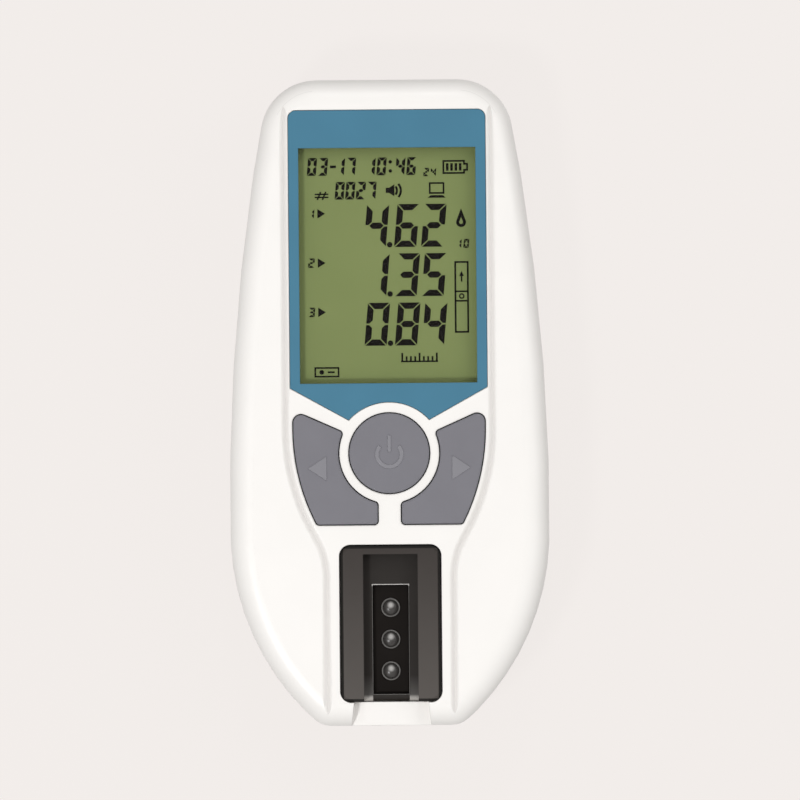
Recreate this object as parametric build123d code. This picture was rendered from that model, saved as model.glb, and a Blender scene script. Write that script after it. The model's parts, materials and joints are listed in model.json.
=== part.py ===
from build123d import *
import os
from math import atan2, cos, degrees, hypot, radians, sin, sqrt, tan

# A handheld dry chemistry analyzer, in millimetres. It lies on its back: +Y runs towards
# the display end, +Z out of the front face, and the origin is under its middle at table level.

# Casing
LENGTH = 150.0
WIDTH = 74.0
FOOT_PROUD = 1.0  # how far the rubber feet hold the rear face off the table
REAR_DEPTH = 12.0  # rear face to parting line
FRONT_DEPTH = 25.0  # rear face to front face
WALL = 2.0
EDGE_R = 5.5  # round of the front and rear edges
INNER_BEVEL = 2.2
LIP_HEIGHT = 1.4  # tongue of the rear casing inside the front one
LIP_WALL = 0.9
LIP_GAP = 0.1

TOP_Y = LENGTH / 2
FOOT_Y = -LENGTH / 2
REAR_Z = FOOT_PROUD
PARTING_Z = REAR_Z + REAR_DEPTH
FRONT_Z = REAR_Z + FRONT_DEPTH
CEILING_Z = FRONT_Z - WALL  # inner face of the front

# Outline of the casing, seen from the front
UPPER_SIDE_R = 507.0
UPPER_FLAT_COUNT = 4  # the long arcs are drawn as straight runs that touch them
LOWER_SIDE_R = 59.0
LOWER_FLAT_COUNT = 9
TOP_CORNER_R = 13.0
FOOT_CORNER_R = 6.0
FOOT_TAPER_L = 45.0
WIDEST_L = 5.0

WIDEST_FOOT_Y = FOOT_Y + FOOT_TAPER_L
WIDEST_TOP_Y = WIDEST_FOOT_Y + WIDEST_L

# Panel and display
PANEL_MARGIN = 7.3  # display end to the panel
PANEL_BORDER = 2.3  # view to the panel's sides
PANEL_T = 1.0
PANEL_CORNER_R = 1.8
PANEL_SIDE_DROP = 1.0  # the panel's sides end this far past the view
PANEL_SLOPE = 29.0  # degrees, of the foot edges
PANEL_GAP = 0.12
VIEW_MARGIN = 8.7  # panel's display end to the view
VIEW_SIDE_MARGIN = 16.5  # casing's widest sides to the view
VIEW_FOOT_MARGIN = 79.5  # foot end to the view
WINDOW_BORDER = 1.0
WINDOW_T = 1.0
GLASS_GAP = 0.8  # window to LCD glass
GLASS_T = 2.2
GLASS_SIDE = 1.5
GLASS_TOP = 2.0
GLASS_LEDGE = 3.5  # contact ledge at the foot end
FRAME_WALL = 1.0
FRAME_FLOOR = 0.8
FRAME_DROP = 0.4  # frame's rim below the glass face
SEAT_GAP = 0.1
ZEBRA_T = 2.0

PANEL_TOP_Y = TOP_Y - PANEL_MARGIN
VIEW_TOP_Y = PANEL_TOP_Y - VIEW_MARGIN
VIEW_FOOT_Y = FOOT_Y + VIEW_FOOT_MARGIN
VIEW_Y = (VIEW_TOP_Y + VIEW_FOOT_Y) / 2
VIEW_L = VIEW_TOP_Y - VIEW_FOOT_Y
VIEW_W = WIDTH - 2 * VIEW_SIDE_MARGIN
PANEL_HALF_W = VIEW_W / 2 + PANEL_BORDER
GLASS_W = VIEW_W + 2 * GLASS_SIDE
GLASS_L = VIEW_L + GLASS_TOP + GLASS_LEDGE
GLASS_Y = VIEW_Y + (GLASS_TOP - GLASS_LEDGE) / 2
GLASS_FOOT_Y = GLASS_Y - GLASS_L / 2
PANEL_FLOOR_Z = FRONT_Z - PANEL_T
WINDOW_FLOOR_Z = PANEL_FLOOR_Z - WINDOW_T
GLASS_Z = WINDOW_FLOOR_Z - GLASS_GAP - GLASS_T

# Keys
KEY_DROP = 16.2  # view to the power key's centre
POWER_R = 9.25
RING_R = 11.8  # inner ends of the side keys, about the power key
PANEL_ARC_R = 12.6
PANEL_ARC_GAP = 11.85  # power key's centre to the panel's arc
SIDE_KEY_INSET = 1.8  # from the console's edge
SIDE_KEY_SLOPE = 24.0  # degrees, of the top edges
SIDE_KEY_TOP = 4.9  # where that slope meets the ring, above the power key's centre
SIDE_KEY_FOOT = 16.4  # below the power key's centre
SIDE_KEY_SPLIT = 2.8  # half the gap between the two side keys
SIDE_KEY_TOP_R = 1.8
SIDE_KEY_CORNER_R = 0.8
KEY_GAP = 0.25
KEY_TAB = 0.9
KEY_TAB_T = 1.0
KEY_TAB_W = 6.0
KEY_PROUD = 0.8
KEY_BEVEL = 0.35
STEM_W = 4.8
STEM_L = 2.0
SIDE_STEM_X = 13.6
SIDE_STEM_DROP = 5.6  # below the power key's centre
DOME_W = 8.4
DOME_HOOD = 0.9  # thickness of the dome's crown and wall

POWER_Y = VIEW_FOOT_Y - KEY_DROP
KEY_TOP_Z = FRONT_Z + KEY_PROUD
STEM_Z = CEILING_Z - KEY_TAB_T - STEM_L

# Console
CONSOLE_BORDER = 1.15  # panel's sides to the console's
HOLDER_BORDER = 3.1  # strip holder's sides to the console's
VALLEY_DEPTH = 0.7  # V groove that sets the console off from the wings
VALLEY_W = 1.9
SHOULDER_R = 50.0
SHOULDER_RISE = 5.7  # above the power key's centre
WAIST_DROP = 28.8  # below it

# Strip holder, its well and the scoop beside it
HOLDER_W = 23.2
HOLDER_L = 36.1
HOLDER_CORNER_R = 2.4
HOLDER_MARGIN = 5.85  # foot end of the casing to the holder
HOLDER_GAP = 0.25
HOLDER_PROUD = 0.3
HOLDER_BEVEL = 0.7
HOLDER_FLOOR_T = 2.4
CHANNEL_W = 12.6
CHANNEL_DEPTH = 3.4
CHANNEL_START = 2.0  # holder's display end to the channel
PORT_W = 8.5
PORT_MARGIN = 1.5  # holder's foot end to the port
PORT_START = 9.1  # holder's display end to the port
LEAD_IN = 1.1
WELL_WALL = 1.8
WELL_FLOOR_T = 1.5
SCOOP_HALF = 8.6
SCOOP_FLARE = 0.6
SCOOP_DROP = 0.2  # scoop's start below the channel's floor
SCOOP_FALL = 1.2

CONSOLE_TOP_HALF = PANEL_HALF_W + CONSOLE_BORDER
CONSOLE_FOOT_HALF = HOLDER_W / 2 + HOLDER_BORDER
SHOULDER_Y = POWER_Y + SHOULDER_RISE
WAIST_Y = POWER_Y - WAIST_DROP
HOLDER_FOOT_Y = FOOT_Y + HOLDER_MARGIN
HOLDER_TOP_Y = HOLDER_FOOT_Y + HOLDER_L
HOLDER_Y = HOLDER_FOOT_Y + HOLDER_L / 2
CHANNEL_Z = FRONT_Z + HOLDER_PROUD - CHANNEL_DEPTH
HOLDER_Z = CHANNEL_Z - HOLDER_FLOOR_T
WELL_Z = HOLDER_Z - WELL_FLOOR_T
PORT_L = HOLDER_L - PORT_START - PORT_MARGIN
PORT_Y = HOLDER_FOOT_Y + PORT_MARGIN + PORT_L / 2

# Optics
OPTICS_GAP = 0.2
OPTICS_SINK = 1.5  # block's face below the channel's floor
OPTICS_FLANGE = 2.2
OPTICS_FLANGE_T = 1.7
LENS_STEPS = [(0.0, 2.2), (0.75, 1.75), (1.25, 0.8)]  # height above the block, radius
LENS_PITCH = 7.35
LENS_COUNT = 3
LENS_FIRST = 5.4  # port's display end to the first lens
LIGHT_WELL_W = 2.6
CHIP_W = 0.9
CHIP_L = 1.8
CHIP_T = 0.8
SENSOR_BOARD_MARGIN = 1.55  # holder's ends to the sensor board
SENSOR_BOARD_W = 24.0
SENSOR_BOARD_T = 1.2
STAKE_W = 2.4  # pegs of the front casing that hold the sensor board
STAKE_X = 9.8
STAKE_MARGIN = 5.0  # sensor board's ends to the pegs

SENSOR_BOARD_L = HOLDER_L - 2 * SENSOR_BOARD_MARGIN
SENSOR_TOP_Z = WELL_Z - OPTICS_FLANGE_T
OPTICS_FACE_Z = CHANNEL_Z - OPTICS_SINK
LENS_YS = [PORT_Y + PORT_L / 2 - LENS_FIRST - n * LENS_PITCH for n in range(LENS_COUNT)]
STAKES = [(side * STAKE_X, HOLDER_Y + side * (SENSOR_BOARD_L / 2 - STAKE_MARGIN)) for side in (-1, 1)]

# Batteries: AAA cells side by side
CELL_COUNT = 2
CELL_R = 5.25
CELL_L = 44.5
CELL_NUB_R = 1.9
CELL_NUB_L = 0.8
CELL_GAP = 0.2
CONTACT_T = 0.4
CONTACT_W = 8.0
SPRING_L = 4.2
SPRING_T = 0.3
SPRING_W = 5.0
SPRING_BEND_R = 2.0
BAY_WALL = 1.2
BAY_SKIN = 1.0
BAY_Y = 20.0

CELL_PITCH = 2 * CELL_R + 2 * CELL_GAP
CELL_Z = REAR_Z + WALL + CELL_GAP + CELL_R
BAY_HALF_W = CELL_COUNT * CELL_PITCH / 2
BAY_L = CELL_L + SPRING_L + 2 * CONTACT_T
BAY_CEILING_Z = CELL_Z + CELL_R + CELL_GAP
CELL_XS = [(n - (CELL_COUNT - 1) / 2) * CELL_PITCH for n in range(CELL_COUNT)]

# Battery door
DOOR_GAP = 0.3
DOOR_LAP = 0.6  # door's opening under the bay's wall
DOOR_CORNER_R = 2.0
TAB_X = 6.5
TAB_W = 4.5
TAB_L = 1.8
TAB_T = 1.0
TONGUE_W = 8.0
TONGUE_L = 9.0
TONGUE_SLOT = 0.8
RIDGE_COUNT = 3
RIDGE_PITCH = 1.8
RIDGE_RISE = 0.35
THUMB_L = 14.0
THUMB_DEPTH = 1.1

DOOR_HALF_W = BAY_HALF_W + DOOR_LAP - DOOR_GAP
DOOR_L = BAY_L + 2 * DOOR_LAP - 2 * DOOR_GAP
HINGE_Y = BAY_Y - DOOR_L / 2

# Main board and what it carries
BOARD_T = 1.6
BOARD_RISE = 0.5  # board above the battery bay
BOARD_TOP_SIDE = 12.0  # casing's widest sides to the board's display end
BOARD_FOOT_SIDE = 4.5
BOARD_TOP_MARGIN = 12.5  # display end to the board
POST_W = 3.0  # posts of both casings that clamp the board
POST_SIDE = 10.7  # casing's widest sides to the posts
POST_TOP_DROP = 9.0  # below the view's display end
POST_FOOT_DROP = 8.0  # below the power key's centre
BOARD_FOOT_GAP = 1.0  # board to the holder's well
USB_W = 7.8
USB_H = 2.8
USB_L = 6.5
USB_BEVEL = 0.9
USB_TONGUE_L = 4.8
USB_SKIN = 0.35
USB_GAP = 0.4
USB_SINK = 1.2  # socket's mouth below the casing's face
BUZZER_W = 11.0
BUZZER_T = 3.5
BUZZER_X = -11.0
BUZZER_RISE = 10.5  # board's foot end to the sounder
SOUND_SLOT_W = 1.0
SOUND_SLOT_L = 6.0
SOUND_PITCH = 2.2
CONNECTOR_W = 9.0
CONNECTOR_L = 3.0
CONNECTOR_T = 1.6
CABLE_W = 7.0
CABLE_T = 0.3
CABLE_SAG = 1.5
CABLE_LEAD = 1.0  # straight out of each connector

BOARD_Z = BAY_CEILING_Z + BAY_SKIN + BOARD_RISE
BOARD_TOP_Z = BOARD_Z + BOARD_T
BOARD_FOOT_Y = HOLDER_TOP_Y + HOLDER_GAP + WELL_WALL + BOARD_FOOT_GAP
BUZZER_Y = BOARD_FOOT_Y + BUZZER_RISE
BOARD_POSTS = [(side * (WIDTH / 2 - POST_SIDE), y) for side in (-1, 1)
               for y in (VIEW_TOP_Y - POST_TOP_DROP, POWER_Y - POST_FOOT_DROP)]

# Casing screws, at the foot end
SHANK_R = 1.1
HEAD_R = 2.3
HEAD_H = 1.6
SCREW_GAP = 0.03
SCREW_CROSS_W = 0.5
CASING_BOSS_W = 6.4
CASING_SCREW_SINK = 4.0  # head's seat above the rear face
CASING_SCREW_GRIP = 6.0  # depth in the front casing's boss
CASING_SCREW_SIDE = 7.2  # strip holder's sides to the screws
CASING_SCREW_RISE = 17.0  # foot end to the screws
CASING_SCREWS = [(side * (HOLDER_W / 2 + CASING_SCREW_SIDE), FOOT_Y + CASING_SCREW_RISE) for side in (-1, 1)]

# Rubber feet
PAD_W = 5.0
PAD_L = 12.0
TOP_PAD_SIDE = 17.5  # casing's widest sides to the pads
FOOT_PAD_SIDE = 13.0
TOP_PAD_MARGIN = 19.5
FOOT_PAD_MARGIN = 39.0
FEET = [(side * (WIDTH / 2 - inset), y) for side in (-1, 1)
        for inset, y in ((TOP_PAD_SIDE, TOP_Y - TOP_PAD_MARGIN), (FOOT_PAD_SIDE, FOOT_Y + FOOT_PAD_MARGIN))]


def slab(outline, low, high):
    """Straight solid on a flat outline, between two heights."""
    return Pos(0, 0, low) * extrude(outline, high - low)


def block(x, y, low, high, width, length):
    """Box centred at x, y, between two heights."""
    return Pos(x, y, (low + high) / 2) * Box(width, length, high - low)


def post(x, y, low, high, radius):
    """Upright cylinder at x, y, between two heights."""
    return Pos(x, y, (low + high) / 2) * Cylinder(radius, high - low)


def plate(x, y, low, high, width, length, corner_r):
    """Box with rounded upright edges."""
    return slab(Pos(x, y) * RectangleRounded(width, length, corner_r), low, high)


def grown(outline, amount):
    """The outline with its edge moved outwards."""
    return offset(outline, amount, kind=Kind.INTERSECTION)


def both_sides(edges):
    """Face inside a chain of edges from the middle line round +X, and its mirror image."""
    return make_face(edges + [mirror(edge, Plane.YZ) for edge in edges])


def nearest(items, x, y):
    """The vertex that lies nearest to x, y."""
    return min(items, key=lambda item: hypot(item.X - x, item.Y - y))


def corner_centre(side_centre, side_r, corner_r, end_y):
    """Centre of the arc that joins a side's arc to a straight end, tangent to both."""
    y = end_y - corner_r if end_y > 0 else end_y + corner_r
    return side_centre[0] + sqrt((side_r - corner_r) ** 2 - (y - side_centre[1]) ** 2), y


def turn_to(centre, point):
    """Direction from a centre to a point, in degrees."""
    return degrees(atan2(point[1] - centre[1], point[0] - centre[0]))


def on_circle(centre, radius, turn):
    """Point on a circle, at an angle in degrees."""
    return centre[0] + radius * cos(radians(turn)), centre[1] + radius * sin(radians(turn))


def flats(centre, radius, start, end, count):
    """Corners of the straight runs that touch an arc between two directions."""
    span = (end - start) / count
    corner_r = radius / cos(radians(span / 2))
    return [on_circle(centre, corner_r, start + span * (n + 0.5)) for n in range(count)]


def casing_outline(inset):
    """The casing from the front, or a line that runs inside it at an even distance."""
    half = WIDTH / 2
    upper = (half - UPPER_SIDE_R, WIDEST_TOP_Y)
    lower = (half - LOWER_SIDE_R, WIDEST_FOOT_Y)
    top = corner_centre(upper, UPPER_SIDE_R, TOP_CORNER_R, TOP_Y)
    foot = corner_centre(lower, LOWER_SIDE_R, FOOT_CORNER_R, FOOT_Y)
    top_turn = turn_to(upper, top)
    foot_turn = turn_to(lower, foot)
    upper_r = UPPER_SIDE_R - inset
    lower_r = LOWER_SIDE_R - inset
    side = Polyline(
        on_circle(upper, upper_r, top_turn), *flats(upper, upper_r, top_turn, 0, UPPER_FLAT_COUNT),
        *flats(lower, lower_r, 0, foot_turn, LOWER_FLAT_COUNT), on_circle(lower, lower_r, foot_turn),
    )
    return both_sides([
        Line((0, TOP_Y - inset), (top[0], TOP_Y - inset)),
        CenterArc(top, TOP_CORNER_R - inset, 90, top_turn - 90),
        *side.edges(),
        CenterArc(foot, FOOT_CORNER_R - inset, foot_turn, -90 - foot_turn),
        Line((foot[0], FOOT_Y + inset), (0, FOOT_Y + inset)),
    ])


def console_outline():
    """The console: wide beside the display, drawn in by two arcs to the holder."""
    step = CONSOLE_TOP_HALF - CONSOLE_FOOT_HALF
    drop = SHOULDER_Y - WAIST_Y
    both_radii = (step**2 + drop**2) / (2 * step)
    waist_r = both_radii - SHOULDER_R
    turn = degrees(atan2(drop, both_radii - step))
    return both_sides([
        Line((0, TOP_Y), (CONSOLE_TOP_HALF, TOP_Y)),
        Line((CONSOLE_TOP_HALF, TOP_Y), (CONSOLE_TOP_HALF, SHOULDER_Y)),
        CenterArc((CONSOLE_TOP_HALF - SHOULDER_R, SHOULDER_Y), SHOULDER_R, 0, -turn),
        CenterArc((CONSOLE_FOOT_HALF + waist_r, WAIST_Y), waist_r, 180 - turn, turn),
        Line((CONSOLE_FOOT_HALF, WAIST_Y), (CONSOLE_FOOT_HALF, FOOT_Y)),
        Line((CONSOLE_FOOT_HALF, FOOT_Y), (0, FOOT_Y)),
    ])


def panel_outline():
    """The blue panel: square shoulders, two foot points and an arc about the power key."""
    side_foot_y = VIEW_FOOT_Y - PANEL_SIDE_DROP
    tip_y = side_foot_y - PANEL_HALF_W * tan(radians(PANEL_SLOPE))
    sheet = make_face(Polyline(
        (-PANEL_HALF_W, PANEL_TOP_Y), (PANEL_HALF_W, PANEL_TOP_Y), (PANEL_HALF_W, side_foot_y),
        (0, tip_y), (-PANEL_HALF_W, side_foot_y), close=True,
    ))
    arc_y = POWER_Y + PANEL_ARC_GAP - PANEL_ARC_R
    sheet = sheet - Pos(0, arc_y) * Circle(PANEL_ARC_R)
    shoulders = [nearest(sheet.vertices(), side * PANEL_HALF_W, PANEL_TOP_Y) for side in (-1, 1)]
    return fillet(shoulders, PANEL_CORNER_R)


def side_key_outline():
    """The right key: its outer side follows the console's edge, its inner end the power key."""
    rise = tan(radians(SIDE_KEY_SLOPE))
    ring_x = sqrt(RING_R**2 - SIDE_KEY_TOP**2)
    ring_y = POWER_Y + SIDE_KEY_TOP
    foot_y = POWER_Y - SIDE_KEY_FOOT
    inner_y = ring_y - (ring_x - SIDE_KEY_SPLIT) * rise
    outer_y = ring_y + (WIDTH / 2 - ring_x) * rise
    field = make_face(Polyline(
        (SIDE_KEY_SPLIT, foot_y), (WIDTH / 2, foot_y), (WIDTH / 2, outer_y),
        (SIDE_KEY_SPLIT, inner_y), close=True,
    ))
    key = (grown(console_outline(), -SIDE_KEY_INSET) & field) - Pos(0, POWER_Y) * Circle(RING_R)
    key = key.faces().sort_by(SortBy.AREA)[-1]
    corners = [nearest(key.vertices(), *spot) for spot in (
        (ring_x, ring_y), (SIDE_KEY_SPLIT, POWER_Y - RING_R), (SIDE_KEY_SPLIT, foot_y))]
    foot_line = [vertex for vertex in key.vertices() if abs(vertex.Y - foot_y) < 1e-6]
    corners.append(max(foot_line, key=lambda vertex: vertex.X))
    key = fillet(corners, SIDE_KEY_CORNER_R)
    return fillet(max(key.vertices(), key=lambda vertex: vertex.X + vertex.Y), SIDE_KEY_TOP_R)


CASING_OUTLINE = casing_outline(0)
CONSOLE_OUTLINE = console_outline()
PANEL_OUTLINE = panel_outline()
SIDE_KEY_OUTLINE = side_key_outline()


def moulding(flat_z, edge_z):
    """Outside of a half shell: straight sides from one flat face, a rounded edge at the other."""
    body = slab(CASING_OUTLINE, min(flat_z, edge_z), max(flat_z, edge_z))
    return fillet(end_face(body, edge_z).edges(), EDGE_R)


def hollow(wall, flat_z, edge_z):
    """Inside of a half shell, with a bevel that follows the rounded edge outside."""
    body = slab(casing_outline(wall), min(flat_z, edge_z), max(flat_z, edge_z))
    return chamfer(end_face(body, edge_z).edges(), INNER_BEVEL)


def end_face(body, height):
    """The flat face at a height."""
    return min(body.faces().filter_by(Plane.XY), key=lambda face: abs(face.center().Z - height))


def front_form():
    """Outside of the front casing, with a V groove along each side of the console."""
    bottom = Pos(0, 0, FRONT_Z - VALLEY_DEPTH) * CONSOLE_OUTLINE
    outer, inner = [loft([bottom, Pos(0, 0, FRONT_Z) * grown(CONSOLE_OUTLINE, side * VALLEY_W / 2)])
                    for side in (1, -1)]
    return moulding(PARTING_Z, FRONT_Z) - (outer - inner)


def holder_well():
    """Walls and floor that carry the strip holder, down to the optics."""
    top_y = HOLDER_TOP_Y + HOLDER_GAP + WELL_WALL
    width = HOLDER_W + 2 * (HOLDER_GAP + WELL_WALL)
    walls = block(0, (top_y + FOOT_Y) / 2, WELL_Z, FRONT_Z, width, top_y - FOOT_Y)
    for x, y in STAKES:
        walls += block(x, y, SENSOR_TOP_Z - SENSOR_BOARD_T, WELL_Z, STAKE_W, STAKE_W)
    return walls


def scoop():
    """Ramp that leads a strip from the channel over the casing's foot end."""
    start_z = CHANNEL_Z - SCOOP_DROP
    start_y = HOLDER_FOOT_Y + HOLDER_GAP
    ramp = make_face(Plane.YZ * Polyline(
        (start_y, start_z), (start_y, KEY_TOP_Z), (FOOT_Y, KEY_TOP_Z), (FOOT_Y, start_z - SCOOP_FALL), close=True,
    ))
    half_foot = SCOOP_HALF + SCOOP_FLARE
    plan = make_face(Polyline(
        (-SCOOP_HALF, start_y), (SCOOP_HALF, start_y), (half_foot, FOOT_Y), (-half_foot, FOOT_Y), close=True,
    ))
    return extrude(ramp, half_foot, both=True) & slab(plan, start_z - SCOOP_FALL, KEY_TOP_Z)


def key_openings():
    """Holes that the three keys pass through."""
    side = grown(SIDE_KEY_OUTLINE, KEY_GAP)
    holes = post(0, POWER_Y, CEILING_Z, FRONT_Z, POWER_R + KEY_GAP)
    holes += slab(side, CEILING_Z, FRONT_Z)
    holes += slab(mirror(side, Plane.YZ), CEILING_Z, FRONT_Z)
    return holes


def port_plan(gap):
    """Plan of the port over the optics, grown by a gap."""
    return Pos(0, PORT_Y) * Rectangle(PORT_W + 2 * gap, PORT_L + 2 * gap)


def socket_form(skin, near_y, far_y):
    """Data socket's section, with bevelled lower corners, drawn in by a skin; runs along Y."""
    half_w = USB_W / 2 - skin
    low = BOARD_TOP_Z + skin
    top = BOARD_TOP_Z + USB_H - skin
    middle = BOARD_TOP_Z + USB_BEVEL
    section = make_face(Plane.XZ * Polyline(
        (-half_w, top), (half_w, top), (half_w, middle), (half_w - USB_BEVEL, low),
        (USB_BEVEL - half_w, low), (-half_w, middle), close=True,
    ))
    return Pos(0, near_y, 0) * extrude(section, far_y - near_y, dir=(0, 1, 0))


def front_casing():
    """White front shell."""
    form = front_form()
    shell = form - hollow(WALL, PARTING_Z, CEILING_Z) + (holder_well() & form)
    for x, y in CASING_SCREWS:
        shell += block(x, y, PARTING_Z, CEILING_Z + WALL / 2, CASING_BOSS_W, CASING_BOSS_W) & form
        shell -= post(x, y, PARTING_Z, PARTING_Z + CASING_SCREW_GRIP, SHANK_R + SCREW_GAP)
    for x, y in BOARD_POSTS:
        shell += block(x, y, BOARD_TOP_Z, CEILING_Z + WALL / 2, POST_W, POST_W)
    shell -= slab(grown(PANEL_OUTLINE, PANEL_GAP), PANEL_FLOOR_Z, FRONT_Z)
    window_gap = 2 * (WINDOW_BORDER + SEAT_GAP)
    shell -= block(0, VIEW_Y, CEILING_Z, PANEL_FLOOR_Z, VIEW_W + window_gap, VIEW_L + window_gap)
    shell -= key_openings()
    shell -= plate(0, HOLDER_Y, HOLDER_Z, FRONT_Z, HOLDER_W + 2 * HOLDER_GAP, HOLDER_L + 2 * HOLDER_GAP,
                   HOLDER_CORNER_R + HOLDER_GAP)
    shell -= slab(port_plan(0), WELL_Z, HOLDER_Z)
    shell -= scoop()
    return shell - socket_form(-USB_GAP, TOP_Y - WALL, TOP_Y)


def bay_walls():
    """Walls and ceiling of the battery bay, with notches for the door's tabs."""
    wall_w = 2 * (BAY_HALF_W + BAY_WALL)
    wall_l = BAY_L + 2 * BAY_WALL
    walls = block(0, BAY_Y, REAR_Z + WALL, BAY_CEILING_Z + BAY_SKIN, wall_w, wall_l)
    walls -= block(0, BAY_Y, REAR_Z + WALL, BAY_CEILING_Z, 2 * BAY_HALF_W, BAY_L)
    sweep_r = hypot(TAB_L, WALL)
    for side in (-1, 1):
        walls -= block(side * TAB_X, HINGE_Y, REAR_Z + WALL, REAR_Z + sweep_r + DOOR_GAP,
                       TAB_W + 2 * DOOR_GAP, 2 * sweep_r + DOOR_GAP)
    return walls


def thumb_notch():
    """Shallow trough across the door's tongue, for a fingertip."""
    roll_r = (THUMB_L**2 + 4 * THUMB_DEPTH**2) / (8 * THUMB_DEPTH)
    roll = Rot(0, 90, 0) * Cylinder(roll_r, TONGUE_W)
    return Pos(0, HINGE_Y + DOOR_L, REAR_Z + THUMB_DEPTH - roll_r) * roll


def sound_slots():
    """Short slots under the sounder."""
    slots = Part()
    for n in (-1, 0, 1):
        slots += block(BUZZER_X + n * SOUND_PITCH, BUZZER_Y, REAR_Z, REAR_Z + WALL, SOUND_SLOT_W, SOUND_SLOT_L)
    return slots


def rear_casing():
    """White rear shell with the battery bay."""
    lip_top = PARTING_Z + LIP_HEIGHT
    shell = moulding(PARTING_Z, REAR_Z) + slab(casing_outline(WALL + LIP_GAP), PARTING_Z, lip_top)
    shell -= hollow(WALL + LIP_GAP + LIP_WALL, lip_top, REAR_Z + WALL)
    shell += bay_walls()
    for x, y in BOARD_POSTS:
        shell += block(x, y, REAR_Z + WALL / 2, BOARD_Z, POST_W, POST_W)
    seat_z = REAR_Z + CASING_SCREW_SINK
    for x, y in CASING_SCREWS:
        shell += block(x, y, REAR_Z + WALL / 2, PARTING_Z, CASING_BOSS_W, CASING_BOSS_W)
        shell -= post(x, y, seat_z, PARTING_Z, SHANK_R + SCREW_GAP)
        shell -= post(x, y, REAR_Z, seat_z, HEAD_R + SCREW_GAP)
    shell -= thumb_notch()
    door_w = 2 * (DOOR_HALF_W + DOOR_GAP)
    door_l = DOOR_L + 2 * DOOR_GAP
    shell -= plate(0, BAY_Y, REAR_Z, REAR_Z + WALL, door_w, door_l, DOOR_CORNER_R + DOOR_GAP)
    for side in (-1, 1):
        shell -= block(side * TAB_X, HINGE_Y, REAR_Z + WALL - TAB_T - SEAT_GAP, REAR_Z + WALL,
                       TAB_W + 2 * DOOR_GAP, 2 * (TAB_L + DOOR_GAP))
    return shell - sound_slots()


def battery_door():
    """Door with two hinge tabs at one end and a finger tongue at the other."""
    door = plate(0, BAY_Y, REAR_Z, REAR_Z + WALL, 2 * DOOR_HALF_W, DOOR_L, DOOR_CORNER_R)
    for side in (-1, 1):
        door += block(side * TAB_X, HINGE_Y, REAR_Z + WALL - TAB_T, REAR_Z + WALL, TAB_W, 2 * TAB_L)
    latch_y = HINGE_Y + DOOR_L
    for side in (-1, 1):
        door -= block(side * (TONGUE_W + TONGUE_SLOT) / 2, latch_y - TONGUE_L / 2, REAR_Z, REAR_Z + WALL,
                      TONGUE_SLOT, TONGUE_L)
    for n in range(RIDGE_COUNT):
        ridge_y = latch_y - (n + 1) * RIDGE_PITCH
        door += block(0, ridge_y, REAR_Z - RIDGE_RISE, REAR_Z, TONGUE_W - 2 * RIDGE_RISE, RIDGE_PITCH / 2)
    return door


def display_panel():
    """Blue plate about the display."""
    panel = slab(PANEL_OUTLINE, PANEL_FLOOR_Z, FRONT_Z)
    return panel - block(0, VIEW_Y, PANEL_FLOOR_Z, FRONT_Z, VIEW_W, VIEW_L)


def display_window():
    """Clear pane under the panel."""
    border = 2 * WINDOW_BORDER
    return block(0, VIEW_Y, WINDOW_FLOOR_Z, PANEL_FLOOR_Z, VIEW_W + border, VIEW_L + border)


def lcd_glass():
    """LCD cell: front glass over a rear glass that is longer by the contact ledge."""
    rear = block(0, GLASS_Y, GLASS_Z, GLASS_Z + GLASS_T / 2, GLASS_W, GLASS_L)
    front_foot_y = zebra_y() + ZEBRA_T / 2
    front_top_y = GLASS_FOOT_Y + GLASS_L
    front = block(0, (front_foot_y + front_top_y) / 2, GLASS_Z + GLASS_T / 2, GLASS_Z + GLASS_T,
                  GLASS_W, front_top_y - front_foot_y)
    return rear + front


def lcd_frame():
    """Tray on the main board that holds the backlight and the glass."""
    inner_w = GLASS_W + 2 * SEAT_GAP
    inner_l = GLASS_L + 2 * SEAT_GAP
    rim_z = GLASS_Z + GLASS_T - FRAME_DROP
    frame = block(0, GLASS_Y, BOARD_TOP_Z, rim_z, inner_w + 2 * FRAME_WALL, inner_l + 2 * FRAME_WALL)
    frame -= block(0, GLASS_Y, BOARD_TOP_Z + FRAME_FLOOR, rim_z, inner_w, inner_l)
    return frame - block(0, zebra_y(), BOARD_TOP_Z, rim_z, VIEW_W + 2 * SEAT_GAP, ZEBRA_T + 2 * SEAT_GAP)


def zebra_y():
    """Middle of the elastomer strip, under the glass's contact ledge."""
    return GLASS_FOOT_Y + SEAT_GAP + ZEBRA_T / 2


def zebra_strip():
    """Elastomer connector from the board to the glass."""
    return block(0, zebra_y(), BOARD_TOP_Z, GLASS_Z, VIEW_W, ZEBRA_T)


def backlight():
    """Light guide between the frame's floor and the glass."""
    foot_y = zebra_y() + ZEBRA_T / 2 + SEAT_GAP
    top_y = GLASS_FOOT_Y + GLASS_L
    return block(0, (foot_y + top_y) / 2, BOARD_TOP_Z + FRAME_FLOOR, GLASS_Z, GLASS_W, top_y - foot_y)


def key_cap(outline, stem_x, stem_y):
    """Key with tabs that stop it under the casing, and a stem that meets its dome."""
    low = CEILING_Z - KEY_TAB_T
    cap = slab(outline, low, KEY_TOP_Z)
    cap = chamfer(end_face(cap, KEY_TOP_Z).edges(), KEY_BEVEL)
    box = cap.bounding_box()
    cap += block(stem_x, box.center().Y, low, CEILING_Z, KEY_TAB_W, box.size.Y + 2 * KEY_TAB)
    return cap + block(stem_x, stem_y, STEM_Z, low, STEM_W, STEM_W)


def power_key():
    """Round power key."""
    return key_cap(Pos(0, POWER_Y) * Circle(POWER_R), 0, POWER_Y)


def right_key():
    """Key on the right of the power key."""
    return key_cap(SIDE_KEY_OUTLINE, SIDE_STEM_X, POWER_Y - SIDE_STEM_DROP)


def left_key():
    """Key on the left, the right one's mirror image."""
    return mirror(right_key(), Plane.YZ)


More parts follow.
